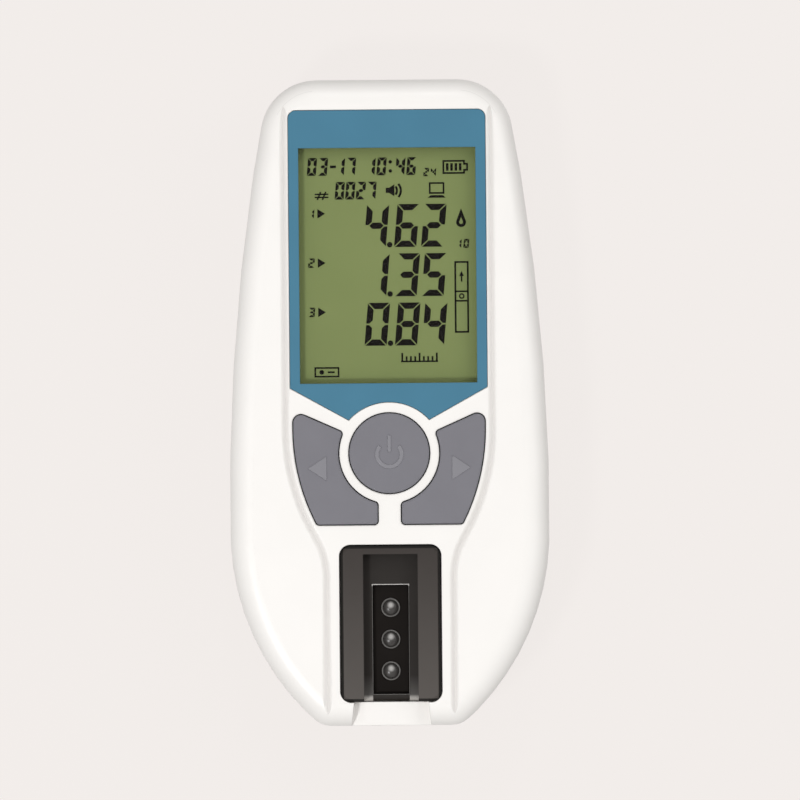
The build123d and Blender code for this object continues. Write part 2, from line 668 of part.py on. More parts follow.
def dome(x, y):
    """Silicone hood that carries a key's stem and pushes it back, hollow over its contact."""
    height = STEM_Z - BOARD_TOP_Z
    slope = degrees(atan2((DOME_W - STEM_W) / 2, height))
    hood = extrude(Rectangle(DOME_W, DOME_W), height, taper=slope)
    room = STEM_W - 2 * DOME_HOOD
    return Pos(x, y, BOARD_TOP_Z) * hood - block(x, y, BOARD_TOP_Z, STEM_Z - DOME_HOOD, room, room)


def power_dome():
    """Dome of the power key."""
    return dome(0, POWER_Y)


def right_dome():
    """Dome of the right key."""
    return dome(SIDE_STEM_X, POWER_Y - SIDE_STEM_DROP)


def left_dome():
    """Dome of the left key."""
    return dome(-SIDE_STEM_X, POWER_Y - SIDE_STEM_DROP)


def strip_holder():
    """Black tray: two wings beside a channel, with a port over the optics."""
    top_z = FRONT_Z + HOLDER_PROUD
    tray = plate(0, HOLDER_Y, HOLDER_Z, top_z, HOLDER_W, HOLDER_L, HOLDER_CORNER_R)
    tray = chamfer(tray.faces().sort_by(Axis.Z)[-1].edges(), HOLDER_BEVEL)
    channel_l = HOLDER_L - CHANNEL_START
    tray -= block(0, HOLDER_FOOT_Y + channel_l / 2, CHANNEL_Z, top_z, CHANNEL_W, channel_l)
    tray -= slab(port_plan(0), HOLDER_Z, CHANNEL_Z)
    edge = Pos(0, HOLDER_FOOT_Y, CHANNEL_Z) * Rot(45, 0, 0) * Box(CHANNEL_W, LEAD_IN, LEAD_IN)
    return tray - edge


def optics_block():
    """Dark block with a square light well under each lens."""
    width = PORT_W - 2 * OPTICS_GAP
    length = PORT_L - 2 * OPTICS_GAP
    body = block(0, PORT_Y, SENSOR_TOP_Z, OPTICS_FACE_Z, width, length)
    body += block(0, PORT_Y, SENSOR_TOP_Z, WELL_Z, width + 2 * OPTICS_FLANGE, length + 2 * OPTICS_FLANGE)
    for y in LENS_YS:
        body -= block(0, y, SENSOR_TOP_Z, OPTICS_FACE_Z, LIGHT_WELL_W, LIGHT_WELL_W)
    return body


def lenses():
    """Domed lenses, each seated on the block by its rim, with its crown drawn in two steps."""
    lens = Part()
    for (low, foot_r), (high, top_r) in zip(LENS_STEPS, LENS_STEPS[1:]):
        lens += Pos(0, 0, OPTICS_FACE_Z + (low + high) / 2) * Cone(foot_r, top_r, high - low)
    return [Pos(0, y) * lens for y in LENS_YS]


def chips(side):
    """Small optical chips on the sensor board, one under each lens."""
    x = side * (CHIP_W / 2 + SEAT_GAP)
    return [block(x, y, SENSOR_TOP_Z, SENSOR_TOP_Z + CHIP_T, CHIP_W, CHIP_L) for y in LENS_YS]


def leds():
    """Emitters."""
    return chips(-1)


def photodiodes():
    """Detectors beside the emitters."""
    return chips(1)


def sensor_board():
    """Board under the optics block."""
    low = SENSOR_TOP_Z - SENSOR_BOARD_T
    board = block(0, HOLDER_Y, low, SENSOR_TOP_Z, SENSOR_BOARD_W, SENSOR_BOARD_L)
    hole_w = STAKE_W + 2 * SEAT_GAP
    for x, y in STAKES:
        board -= block(x, y, low, SENSOR_TOP_Z, hole_w, hole_w)
    return board


def main_board():
    """Board with a neck for the data socket; it narrows towards the display end like the casing."""
    top_y = TOP_Y - BOARD_TOP_MARGIN
    neck_y = usb_foot_y() + USB_L / 2
    top_x = WIDTH / 2 - BOARD_TOP_SIDE
    foot_x = WIDTH / 2 - BOARD_FOOT_SIDE
    half = [(0, neck_y), (USB_W, neck_y), (USB_W, top_y), (top_x, top_y),
            (foot_x, WIDEST_TOP_Y), (foot_x, BOARD_FOOT_Y), (0, BOARD_FOOT_Y)]
    return slab(both_sides([Polyline(*half)]), BOARD_Z, BOARD_TOP_Z)


def usb_foot_y():
    """Inner end of the data socket."""
    return TOP_Y - USB_SINK - USB_L


def usb_socket():
    """Data socket: a metal shell with a tongue inside."""
    foot_y = usb_foot_y()
    shell = socket_form(0, foot_y, foot_y + USB_L) - socket_form(USB_SKIN, foot_y + USB_SKIN, foot_y + USB_L)
    middle_z = BOARD_TOP_Z + USB_H / 2
    return shell + block(0, foot_y + USB_TONGUE_L / 2, middle_z - USB_SKIN, middle_z + USB_SKIN,
                         USB_W / 2, USB_TONGUE_L)


def buzzer():
    """Sounder under the board."""
    return block(BUZZER_X, BUZZER_Y, BOARD_Z - BUZZER_T, BOARD_Z, BUZZER_W, BUZZER_W)


def board_components():
    """Processor, crystal and smaller parts under the board."""
    pieces = []
    for x, rise, width, length, height in (
        (4.0, 10.0, 10.0, 10.0, 1.4),
        (14.5, 12.0, 4.0, 11.0, 2.6),
        (20.5, 13.0, 3.0, 6.0, 1.2),
        (-22.5, 14.0, 3.0, 8.0, 1.2),
        (14.5, 3.5, 5.0, 2.5, 1.0),
    ):
        pieces.append(block(x, BOARD_FOOT_Y + rise, BOARD_Z - height, BOARD_Z, width, length))
    return pieces


def cable_ends():
    """Middles of the flat cable's two connectors, and the undersides that carry them."""
    sensor_y = HOLDER_Y + SENSOR_BOARD_L / 2 - CONNECTOR_L / 2
    main_y = BOARD_FOOT_Y + CONNECTOR_L / 2
    return (sensor_y, SENSOR_TOP_Z - SENSOR_BOARD_T), (main_y, BOARD_Z)


def cable_connectors():
    """One connector under each board."""
    return [block(0, y, z - CONNECTOR_T, z, CONNECTOR_W, CONNECTOR_L) for y, z in cable_ends()]


def sensor_cable():
    """Flat cable that hangs in a bow between the two connectors."""
    (sensor_y, sensor_z), (main_y, main_z) = cable_ends()
    start = (sensor_y + CONNECTOR_L / 2, sensor_z - CONNECTOR_T / 2)
    end = (main_y - CONNECTOR_L / 2, main_z - CONNECTOR_T / 2)
    low = ((start[0] + end[0]) / 2, min(start[1], end[1]) - CABLE_SAG)
    bow = FilletPolyline(start, (start[0] + CABLE_LEAD, start[1]), low, (end[0] - CABLE_LEAD, end[1]), end,
                         radius=CABLE_LEAD / 2)
    return extrude(Plane.YZ * trace(bow, CABLE_T), CABLE_W / 2, both=True)


def cell(x, way):
    """One cell, its positive end towards +Y or -Y."""
    half = CELL_L / 2
    profile = make_face(Plane.XZ * Polyline(
        (0, -half), (CELL_R, -half), (CELL_R, half - CELL_NUB_L), (CELL_NUB_R, half - CELL_NUB_L),
        (CELL_NUB_R, half), (0, half), close=True,
    ))
    body = revolve(profile, Axis.Z)
    middle_y = BAY_Y + way * SPRING_L / 2
    return Pos(x, middle_y, CELL_Z) * Rot(-90 * way, 0, 0) * body


def ways():
    """Cells lie head to tail: +1 where the positive end is towards +Y."""
    return [1 if n % 2 == 0 else -1 for n in range(CELL_COUNT)]


def batteries():
    """Cells, head to tail."""
    return [cell(x, way) for x, way in zip(CELL_XS, ways())]


def battery_contacts():
    """Plates at both ends of every cell."""
    plates = []
    for x in CELL_XS:
        for end in (-1, 1):
            y = BAY_Y + end * (BAY_L - CONTACT_T) / 2
            plates.append(Pos(x, y, CELL_Z) * Box(CONTACT_W, CONTACT_T, CONTACT_W))
    return plates


def battery_springs():
    """Leaf springs that bow from the contact plates to the cells' flat ends."""
    half_h = CONTACT_W / 2 - SPRING_T
    inner = SPRING_T / 2
    outer = SPRING_L - SPRING_T / 2
    bow = FilletPolyline((inner, -half_h), (outer, 0), (inner, half_h), radius=SPRING_BEND_R)
    leaf = extrude(Plane.YZ * trace(bow, SPRING_T), SPRING_W / 2, both=True)
    leaf &= Pos(0, SPRING_L / 2, 0) * Box(SPRING_W, SPRING_L, CONTACT_W)
    springs = []
    for x, way in zip(CELL_XS, ways()):
        plate_y = BAY_Y - way * (BAY_L / 2 - CONTACT_T)
        turn = 0 if way > 0 else 180
        springs.append(Pos(x, plate_y, CELL_Z) * Rot(0, 0, turn) * leaf)
    return springs


def casing_screws():
    """Screws that close the casing, with cross recesses."""
    seat_z = REAR_Z + CASING_SCREW_SINK
    body = post(0, 0, seat_z - HEAD_H, seat_z, HEAD_R)
    body += post(0, 0, seat_z, PARTING_Z + CASING_SCREW_GRIP - SEAT_GAP, SHANK_R)
    for turn in (0, 90):
        body -= Rot(0, 0, turn) * block(0, 0, seat_z - HEAD_H, seat_z - HEAD_H / 2, 1.3 * HEAD_R, SCREW_CROSS_W)
    return [Pos(x, y) * body for x, y in CASING_SCREWS]


def rubber_feet():
    """Four pads stuck to the rear casing."""
    return [block(x, y, 0, REAR_Z, PAD_W, PAD_L) for x, y in FEET]


PIECES = [
    front_casing, rear_casing, display_panel, display_window, lcd_glass, lcd_frame, backlight, zebra_strip,
    power_key, left_key, right_key, power_dome, left_dome, right_dome, strip_holder, optics_block, lenses,
    leds, photodiodes, sensor_board, sensor_cable, cable_connectors, main_board,
    board_components, usb_socket, buzzer, battery_door, batteries, battery_contacts,
    battery_springs, casing_screws, rubber_feet,
]

os.makedirs("parts", exist_ok=True)
for piece in PIECES:
    made = piece()
    solids = made if isinstance(made, list) else [made]
    export_step(Compound(children=[s.solid() for s in solids]) if len(solids) > 1 else solids[0].solid(),
                f"parts/{piece.__name__}.step")
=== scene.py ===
import json
from collections import namedtuple
from math import cos, hypot, pi, radians, sin

import bmesh
import bpy
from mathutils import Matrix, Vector


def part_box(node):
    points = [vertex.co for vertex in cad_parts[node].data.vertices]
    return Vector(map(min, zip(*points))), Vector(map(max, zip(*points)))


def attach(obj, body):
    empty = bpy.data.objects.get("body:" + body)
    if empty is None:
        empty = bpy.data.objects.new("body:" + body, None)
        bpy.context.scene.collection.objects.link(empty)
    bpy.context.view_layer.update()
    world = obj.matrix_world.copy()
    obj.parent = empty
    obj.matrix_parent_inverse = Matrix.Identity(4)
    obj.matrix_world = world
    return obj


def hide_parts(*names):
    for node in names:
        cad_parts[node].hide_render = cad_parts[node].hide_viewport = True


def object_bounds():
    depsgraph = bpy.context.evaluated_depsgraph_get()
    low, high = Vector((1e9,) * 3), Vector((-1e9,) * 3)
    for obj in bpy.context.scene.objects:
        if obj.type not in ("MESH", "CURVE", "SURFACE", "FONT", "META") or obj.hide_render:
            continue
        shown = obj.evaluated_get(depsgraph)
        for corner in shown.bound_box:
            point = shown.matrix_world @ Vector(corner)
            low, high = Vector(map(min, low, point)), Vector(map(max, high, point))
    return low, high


# Looks of a handheld dry chemistry analyzer. Lengths of pieces, marks and textures are given in
# millimetres in the CAD frame, and turned into metres when meshes and nodes are made. Lengths of
# the camera, the lamps and the floor are in metres.
MM = 0.001

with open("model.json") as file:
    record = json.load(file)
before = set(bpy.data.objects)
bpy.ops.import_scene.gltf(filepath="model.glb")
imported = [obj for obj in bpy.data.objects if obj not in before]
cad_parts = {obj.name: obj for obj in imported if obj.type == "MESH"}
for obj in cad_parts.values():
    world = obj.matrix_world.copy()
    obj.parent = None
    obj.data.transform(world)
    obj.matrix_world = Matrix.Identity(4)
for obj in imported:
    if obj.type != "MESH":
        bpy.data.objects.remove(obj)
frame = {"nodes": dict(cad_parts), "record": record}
cad_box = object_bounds()
NODES = frame["nodes"]


def box_mm(node):
    """Lowest and highest corner of a CAD node, in millimetres."""
    low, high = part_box(node)
    return low / MM, high / MM


# Sizes that the boxes of the CAD nodes don't give
HOLDER_FLOOR_T = 2.4
PORT_W = 8.5  # opening in the holder's floor, over the optics
PORT_L = 25.5
PORT_TOP_Y = -42.15  # its display end
LENS_COUNT = 3

# Camera
CAMERA_AIM = (0.00258, 0.00058)  # photograph's middle in the part's frame
CAMERA_HEIGHT = 1.2  # above the faces of the keys
FRAME_WIDTH = 0.1849  # width of the view at the faces of the keys
CAMERA_ROLL = -0.5  # degrees
SENSOR = 36.0  # millimetres
CLIP_START = 0.01
CLIP_END = 20.0

# Lamps, world and floor
LAMPS = (
    # name, direction, distance, size, energy in watts
    ("key_lamp", (-0.46, -0.41, 1.0), 1.20, 0.20, 5.15),
    ("top_lamp", (0.03, 1.0, 0.95), 1.20, 0.16, 1.25),
    ("fill_lamp", (0.80, 0.35, 0.75), 1.30, 0.70, 2.65),
)
BACKGROUND = (0.886, 0.845, 0.821)
AMBIENT = (0.60, 0.595, 0.585)  # from above
AMBIENT_BELOW = (0.24, 0.235, 0.23)  # from the sides, below the floor's level
AMBIENT_UNDER = (0.75, 0.74, 0.72)  # from straight below
BELOW_TO_ABOVE = (-0.2, 0.3)  # upward share of the directions where one turns into the other
UNDER_TO_BELOW = (-0.85, -0.6)
FLOOR_HALF = 3.0
FLOOR_GLOW = 0.93  # share of the floor that doesn't take shadows
FLOOR_PATCH = 60.0  # width of its patches, in millimetres
FLOOR_DIM = 0.995  # tone of its darker patches

# What all materials share
NOISE_DETAIL = 2.0
NOISE_SPAN = (0.3, 0.7)  # where most of a noise's values lie
GLOSS_SPREAD = 0.04  # roughness to either side of the stated one
GLOSS_FINER = 3  # patches of gloss are that much smaller than those of colour
EDGE_SAMPLES = 6  # of the shader that makes edges look rounded
ROUNDING_SEGMENTS = 2  # of bevels on small pieces
ROUNDING_ANGLE = radians(40)


def add_object(name, data):
    made = bpy.data.objects.new(name, data)
    bpy.context.scene.collection.objects.link(made)
    return made


def add_camera():
    data = bpy.data.cameras.new("camera")
    data.sensor_width = SENSOR
    data.lens = SENSOR * CAMERA_HEIGHT / FRAME_WIDTH
    data.clip_start = CLIP_START
    data.clip_end = CLIP_END
    camera = add_object("camera", data)
    camera.location = (*CAMERA_AIM, cad_box[1][2] + CAMERA_HEIGHT)
    camera.rotation_euler = (0.0, 0.0, radians(CAMERA_ROLL))
    bpy.context.scene.camera = camera


def add_lamps():
    for name, direction, distance, size, energy in LAMPS:
        data = bpy.data.lights.new(name, "AREA")
        data.shape = "DISK"
        data.size = size
        data.energy = energy
        lamp = add_object(name, data)
        towards = Vector(direction).normalized()
        lamp.location = towards * distance
        lamp.rotation_euler = towards.to_track_quat("Z", "Y").to_euler()


class Graph:
    """Short ways to add and join the nodes of one material or world."""

    def __init__(self, tree):
        self.tree = tree
        tree.nodes.clear()

    def add(self, kind, **settings):
        node = self.tree.nodes.new(kind)
        for key, value in settings.items():
            setattr(node, key, value)
        return node

    def join(self, source, target):
        self.tree.links.new(source, target)

    def put(self, value, socket):
        """Feeds a socket with another socket, a number or a colour."""
        if isinstance(value, (int, float)):
            socket.default_value = value
        elif isinstance(value, tuple):
            socket.default_value = (*value, 1.0)
        else:
            self.join(value, socket)

    def output(self, shader, kind="ShaderNodeOutputMaterial"):
        self.join(shader, self.add(kind).inputs["Surface"])

    def coords(self, kind="Object"):
        return self.add("ShaderNodeTexCoord").outputs[kind]

    def geometry(self, kind):
        return self.add("ShaderNodeNewGeometry").outputs[kind]

    def axes(self, vector):
        """The three numbers of a vector."""
        split = self.add("ShaderNodeSeparateXYZ")
        self.join(vector, split.inputs[0])
        return tuple(split.outputs)

    def math(self, operation, first, second=None):
        """A math node on one or two values, each a socket or a number."""
        node = self.add("ShaderNodeMath", operation=operation)
        self.put(first, node.inputs[0])
        if second is not None:
            self.put(second, node.inputs[1])
        return node.outputs[0]

    def near(self, value, middle, reach):
        """1 where a value lies within reach of a middle."""
        away = self.math("ABSOLUTE", self.math("SUBTRACT", value, middle))
        return self.math("LESS_THAN", away, reach)

    def product(self, first, *others):
        """The values multiplied; of masks, 1 where all of them are."""
        for other in others:
            first = self.math("MULTIPLY", first, other)
        return first

    def mix_shader(self, share, first, second):
        node = self.add("ShaderNodeMixShader")
        for n, value in enumerate((share, first, second)):
            self.put(value, node.inputs[n])
        return node.outputs[0]

    def mix_color(self, share, first, second):
        """Colour between two colours, each a socket or a tuple."""
        node = self.add("ShaderNodeMix", data_type="RGBA")
        # Sockets 0, 6 and 7 are the factor and the two colours, and output 2 is the mixed colour
        for n, value in ((0, share), (6, first), (7, second)):
            self.put(value, node.inputs[n])
        return node.outputs[2]

    def noise(self, coords, patch):
        """Noise whose patches are about that many millimetres across."""
        node = self.add("ShaderNodeTexNoise")
        node.inputs["Scale"].default_value = 1.0 / (patch * MM)
        node.inputs["Detail"].default_value = NOISE_DETAIL
        self.join(coords, node.inputs["Vector"])
        return node.outputs["Fac"]

    def between(self, value, low, high, source=NOISE_SPAN):
        """Value spread from its source range over the range from low to high."""
        node = self.add("ShaderNodeMapRange")
        self.join(value, node.inputs["Value"])
        for key, number in (("From Min", source[0]), ("From Max", source[1]),
                            ("To Min", low), ("To Max", high)):
            node.inputs[key].default_value = number
        return node.outputs[0]

    def seen(self):
        """1 for camera, glossy and transmission rays."""
        rays = self.add("ShaderNodeLightPath").outputs
        either = self.math("MAXIMUM", rays["Is Camera Ray"], rays["Is Glossy Ray"])
        return self.math("MAXIMUM", either, rays["Is Transmission Ray"])


def add_world():
    """Soft light that differs with the direction, and an even background to look at."""
    world = bpy.data.worlds.new("world")
    bpy.context.scene.world = world
    world.use_nodes = True
    g = Graph(world.node_tree)
    upward = g.axes(g.coords("Generated"))[2]
    above = g.between(upward, 0.0, 1.0, BELOW_TO_ABOVE)
    under = g.between(upward, 1.0, 0.0, UNDER_TO_BELOW)
    sides = g.mix_color(above, AMBIENT_BELOW, AMBIENT)
    light = g.add("ShaderNodeBackground")
    g.put(g.mix_color(under, sides, AMBIENT_UNDER), light.inputs["Color"])
    shown = g.add("ShaderNodeBackground")
    g.put(BACKGROUND, shown.inputs["Color"])
    g.output(g.mix_shader(g.seen(), light.outputs[0], shown.outputs[0]), "ShaderNodeOutputWorld")


def new_material(name):
    """An empty material and its graph."""
    made = bpy.data.materials.new(name)
    made.use_nodes = True
    return made, Graph(made.node_tree)


def floor_material():
    """Pale floor that keeps a faint shadow, lets ambient light up and is clear from below."""
    made, g = new_material("floor")
    tint = g.between(g.noise(g.coords(), FLOOR_PATCH), 0.0, 1.0)
    dim = tuple(FLOOR_DIM * c for c in BACKGROUND)
    matt = g.add("ShaderNodeBsdfDiffuse")
    g.put(g.mix_color(tint, dim, BACKGROUND), matt.inputs["Color"])
    glow = g.add("ShaderNodeEmission")
    g.put(BACKGROUND, glow.inputs["Color"])
    clear = g.add("ShaderNodeBsdfTransparent").outputs[0]
    top = g.mix_shader(FLOOR_GLOW, matt.outputs[0], glow.outputs[0])
    side = g.mix_shader(g.geometry("Backfacing"), top, clear)
    g.output(g.mix_shader(g.seen(), clear, side))
    return made


# Meshes from flat outlines
def thin(outline, low, high, bm):
    """Straight solid on a closed outline, between two heights."""
    area = sum(a[0] * b[1] - b[0] * a[1] for a, b in zip(outline, outline[1:] + outline[:1]))
    if area < 0:
        outline = outline[::-1]
    rings = [[bm.verts.new((x * MM, y * MM, z * MM)) for x, y in outline] for z in (low, high)]
    count = len(outline)
    caps = [bm.faces.new(rings[0][::-1]), bm.faces.new(rings[1])]
    for n in range(count):
        after = (n + 1) % count
        bm.faces.new((rings[0][n], rings[0][after], rings[1][after], rings[1][n]))
    bmesh.ops.triangulate(bm, faces=caps)


def ribbon(points, width, closed):
    """Left and right edge of a stroke of even width along a chain of points."""
    count = len(points)
    left, right = [], []
    for n, (x, y) in enumerate(points):
        back = points[n - 1] if closed or n > 0 else None
        ahead = points[(n + 1) % count] if closed or n < count - 1 else None
        turns = []
        for a, b in ((back, (x, y)), ((x, y), ahead)):
            if a is not None and b is not None:
                length = hypot(b[0] - a[0], b[1] - a[1])
                turns.append(((a[1] - b[1]) / length, (b[0] - a[0]) / length))
        nx = sum(t[0] for t in turns)
        ny = sum(t[1] for t in turns)
        reach = width / 2 * len(turns) / (nx * nx + ny * ny)
        left.append((x + nx * reach, y + ny * reach))
        right.append((x - nx * reach, y - ny * reach))
    return left, right


def stroke(points, width, low, high, bm, closed=False):
    """Solid stroke along a chain of points, between two heights."""
    left, right = ribbon(points, width, closed)
    rings = [[bm.verts.new((x * MM, y * MM, z * MM)) for x, y in edge]
             for z in (low, high) for edge in (left, right)]
    left_low, right_low, left_high, right_high = rings
    count = len(points)
    for n in range(count if closed else count - 1):
        after = (n + 1) % count
        for a, b in ((right_high, left_high), (left_low, right_low),
                     (left_high, left_low), (right_low, right_high)):
            bm.faces.new((a[n], a[after], b[after], b[n]))
    if not closed:
        for n in (0, -1):
            bm.faces.new((left_low[n], right_low[n], right_high[n], left_high[n]))


def arc(x, y, radius, start, end, steps):
    """Points on an arc, angles in degrees."""
    angles = [radians(start + (end - start) * n / steps) for n in range(steps + 1)]
    return [(x + radius * cos(angle), y + radius * sin(angle)) for angle in angles]


def circle(x, y, radius, steps):
    return arc(x, y, radius, 0, 360, steps)[:-1]


def corners(left, right, low, high):
    """Corners of an upright rectangle between two pairs of sides."""
    return [(left, low), (right, low), (right, high), (left, high)]


def rectangle(x, y, width, length):
    """Corners of a rectangle centred at x, y."""
    return corners(x - width / 2, x + width / 2, y - length / 2, y + length / 2)


def finish_piece(bm, name, body, material, bevel=0.0, smooth=0.0):
    """Turns a bmesh into a piece that rides on a body."""
    bmesh.ops.recalc_face_normals(bm, faces=bm.faces)
    mesh = bpy.data.meshes.new(name)
    bm.to_mesh(mesh)
    bm.free()
    piece = add_object(name, mesh)
    mesh.materials.append(material)
    if smooth:
        mesh.polygons.foreach_set("use_smooth", [True] * len(mesh.polygons))
        mesh.set_sharp_from_angle(angle=smooth)
    if bevel:
        rounding = piece.modifiers.new("rounding", "BEVEL")
        rounding.width = bevel * MM
        rounding.segments = ROUNDING_SEGMENTS
        rounding.limit_method = "ANGLE"
        rounding.angle_limit = ROUNDING_ANGLE
    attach(piece, body)
    return piece


# Materials
def surface(name, color, rough, mottle=0.02, patch=12.0, grain=0.3, depth=0.004, metal=0.0,
            specular=0.5, edge=0.25, marks=None):
    """Material with faint patches of colour, uneven gloss and a fine grain.

    Colour varies by the share mottle to either side, in patches of the width patch. The grain has
    its own width and depth, and edges look rounded by the radius edge. Marks add to the tone and
    the height.
    """
    made, g = new_material(name)
    coords = g.coords()
    shader = g.add("ShaderNodeBsdfPrincipled")
    shader.inputs["Metallic"].default_value = metal
    shader.inputs["Specular IOR Level"].default_value = specular
    dim = tuple(c * (1 - mottle) for c in color)
    bright = tuple(min(1.0, c * (1 + mottle)) for c in color)
    tone = g.mix_color(g.between(g.noise(coords, patch), 0.0, 1.0), dim, bright)
    height = g.noise(coords, grain)
    if marks:
        tone, height = marks(g, coords, tone, height)
    g.join(tone, shader.inputs["Base Color"])
    gloss = g.noise(coords, patch / GLOSS_FINER)
    gloss = g.between(gloss, rough - GLOSS_SPREAD, rough + GLOSS_SPREAD)
    g.join(gloss, shader.inputs["Roughness"])
    rounded = g.add("ShaderNodeBevel", samples=EDGE_SAMPLES)
    rounded.inputs["Radius"].default_value = edge * MM
    bump = g.add("ShaderNodeBump")
    bump.inputs["Strength"].default_value = 1.0
    bump.inputs["Distance"].default_value = depth * MM
    g.join(rounded.outputs[0], bump.inputs["Normal"])
    g.join(height, bump.inputs["Height"])
    g.join(bump.outputs[0], shader.inputs["Normal"])
    g.output(shader.outputs[0])
    return made


# Grooves beside the console
GROOVE_DEPTH = 0.7
GROOVE_TONED = 0.6  # share of the depth over which the tone comes in
GROOVE_SLACK = 0.05  # kept below the bottom
GROOVE_SLOPE = 0.805  # upward share of the flanks' normals
GROOVE_SPREAD = 0.056  # how far a facet's share may lie from that
GROOVE_REACH = 25.3  # from the middle to past the grooves
GROOVE_START = 3.0  # from the foot end
# Painted shade: colour of the grooves' flanks, darker where shade falls in them
GROOVE_SHADE_COLOR = (0.765, 0.742, 0.722)


def casing_marks(g, coords, tone, height):
    """Painted shade: greyer grooves by the console, and a dark sunk hairline where the shells
    meet.
    """
    seam_half, seam_bump, seam_shade_color = 0.07, 12.0, (0.30, 0.28, 0.26)
    low, high = box_mm("front_casing")
    front_z = high[2] * MM
    x, y, z = g.axes(coords)
    # Painted shade down in the grooves
    groove_shade = g.product(
        g.near(g.axes(g.geometry("True Normal"))[2], GROOVE_SLOPE, GROOVE_SPREAD),
        g.math("GREATER_THAN", z, front_z - (GROOVE_DEPTH + GROOVE_SLACK) * MM),
        g.between(z, 1.0, 0.0, (front_z - GROOVE_DEPTH * MM * GROOVE_TONED, front_z)),
        g.near(x, 0.0, GROOVE_REACH * MM),
        g.math("GREATER_THAN", y, (low[1] + GROOVE_START) * MM),
    )
    tone = g.mix_color(groove_shade, tone, GROOVE_SHADE_COLOR)
    # The seam's dark colour is painted shade of the gap between the shells; the bump sinks a fine
    # groove there
    seam = g.near(z, low[2] * MM, seam_half * MM)
    height = g.math("SUBTRACT", height, g.product(seam, seam_bump))
    return g.mix_color(seam, tone, seam_shade_color), height


def board_marks(g, coords, tone, height):
    """Lighter copper runs under the solder mask, as the joints of a brick texture."""
    brick, joint, run_color = 6.0, 0.05, (0.05, 0.30, 0.14)  # the joint is a share of the brick
    runs = g.add("ShaderNodeTexBrick")
    runs.inputs["Scale"].default_value = 1.0 / (brick * MM)
    runs.inputs["Mortar Size"].default_value = joint
    g.join(coords, runs.inputs["Vector"])
    run = runs.outputs["Fac"]
    return g.mix_color(run, tone, run_color), g.math("ADD", height, run)


def cell_marks(g, coords, tone, height):
    """A pale band by the positive end of each cell. The two cells point opposite ways."""
    band_start, band_color = 11.0, (0.60, 0.48, 0.30)  # from the cell's middle
    low, high = box_mm("batteries")
    x, y, _ = g.axes(coords)
    way = g.math("SUBTRACT", 0.0, g.math("SIGN", x))
    along = g.product(g.math("SUBTRACT", y, (low[1] + high[1]) / 2 * MM), way)
    band = g.math("GREATER_THAN", along, band_start * MM)
    return g.mix_color(band, tone, band_color), height


def socket_marks(g, coords, tone, height):
    """The contact tongue, in the middle half of the metal shell each way, is black."""
    slack, tongue_color = 0.01, (0.015, 0.015, 0.015)
    low, high = box_mm("usb_socket")
    x, _, z = g.axes(coords)
    across = g.near(x, 0.0, ((high[0] - low[0]) / 4 + slack) * MM)
    up = g.near(z, (low[2] + high[2]) / 2 * MM, (high[2] - low[2]) / 4 * MM)
    return g.mix_color(g.product(across, up), tone, tongue_color), height


def holder_marks(g, coords, tone, height):
    """Painted light and shade: wings paler towards the foot, near black outer edges and a darker
    channel.
    """
    # Painted light: the wings grow paler towards the foot
    foot_light_color = (0.085, 0.076, 0.070)
    # Painted shade: the channel, a recess, is darker
    channel_shade_color = (0.017, 0.014, 0.012)
    # Painted shade: near black outer edges of the wings, in the gap round the holder
    rim_shade_color = (0.010, 0.009, 0.008)
    lip = 0.8  # from the wings' face to where the channel's finish starts
    rim_w = 0.65
    # On the channel's ledges: where a tone starts to fade, where it is gone, from the foot end
    # Painted light: the ledges grow paler towards the foot
    ledge_foot_light = (1.3, 6.0, (0.085, 0.080, 0.076))
    # Painted highlight: a bright glint on the lead-in at the foot end
    lead_in_glint = (0.65, 1.43, (0.42, 0.40, 0.38))

    low, high = box_mm("strip_holder")
    x, y, z = g.axes(coords)
    tone = g.mix_color(g.between(y, 1.0, 0.0, (low[1] * MM, high[1] * MM)), tone, foot_light_color)
    channel = g.math("LESS_THAN", z, (high[2] - lip) * MM)
    tone = g.mix_color(channel, tone, channel_shade_color)
    across = g.math("ABSOLUTE", x)
    along = g.math("ABSOLUTE", g.math("SUBTRACT", y, (low[1] + high[1]) / 2 * MM))
    beside = g.math("GREATER_THAN", across, (high[0] - rim_w) * MM)
    beyond = g.math("GREATER_THAN", along, ((high[1] - low[1]) / 2 - rim_w) * MM)
    wings = g.math("SUBTRACT", 1.0, channel)
    tone = g.mix_color(g.product(g.math("MAXIMUM", beside, beyond), wings), tone, rim_shade_color)
    ledge = g.product(channel, g.math("GREATER_THAN", across, PORT_W / 2 * MM))
    for start, end, color in (ledge_foot_light, lead_in_glint):
        share = g.between(y, 1.0, 0.0, ((low[1] + start) * MM, (low[1] + end) * MM))
        tone = g.mix_color(g.product(ledge, share), tone, color)
    return tone, height


def lens_places():
    """Middles of the lenses, from the display end."""
    low, high = box_mm("lenses")
    radius = (high[0] - low[0]) / 2
    first, last = high[1] - radius, low[1] + radius
    return [((low[0] + high[0]) / 2, first + (last - first) * n / (LENS_COUNT - 1))
            for n in range(LENS_COUNT)]


def lens_marks(g, coords, tone, height):
    """A pale glint in each dome, towards the display end."""
    shift, core_r, glint_r, glint_color = 0.6, 0.3, 0.9, (0.42, 0.41, 0.40)
    places = lens_places()
    pitch = (places[0][1] - places[1][1]) * MM
    x, y, _ = g.axes(coords)
    along = g.math("SUBTRACT", y, (places[-1][1] + shift) * MM)
    nearest = g.product(g.math("ROUND", g.math("DIVIDE", along, pitch)), pitch)
    along = g.math("SUBTRACT", along, nearest)
    away = g.math("SQRT", g.math("ADD", g.product(x, x), g.product(along, along)))
    glint = g.between(away, 1.0, 0.0, (core_r * MM, glint_r * MM))
    return g.mix_color(glint, tone, glint_color), height


def trim_marks(g, coords, tone, height):
    """Painted highlight: the port's edge is bright at its display end."""
    end_highlight_w, end_highlight_color = 0.4, (0.60, 0.58, 0.56)
    y = g.axes(coords)[1]
    end = g.math("GREATER_THAN", y, (PORT_TOP_Y - end_highlight_w) * MM)
    return g.mix_color(end, tone, end_highlight_color), height


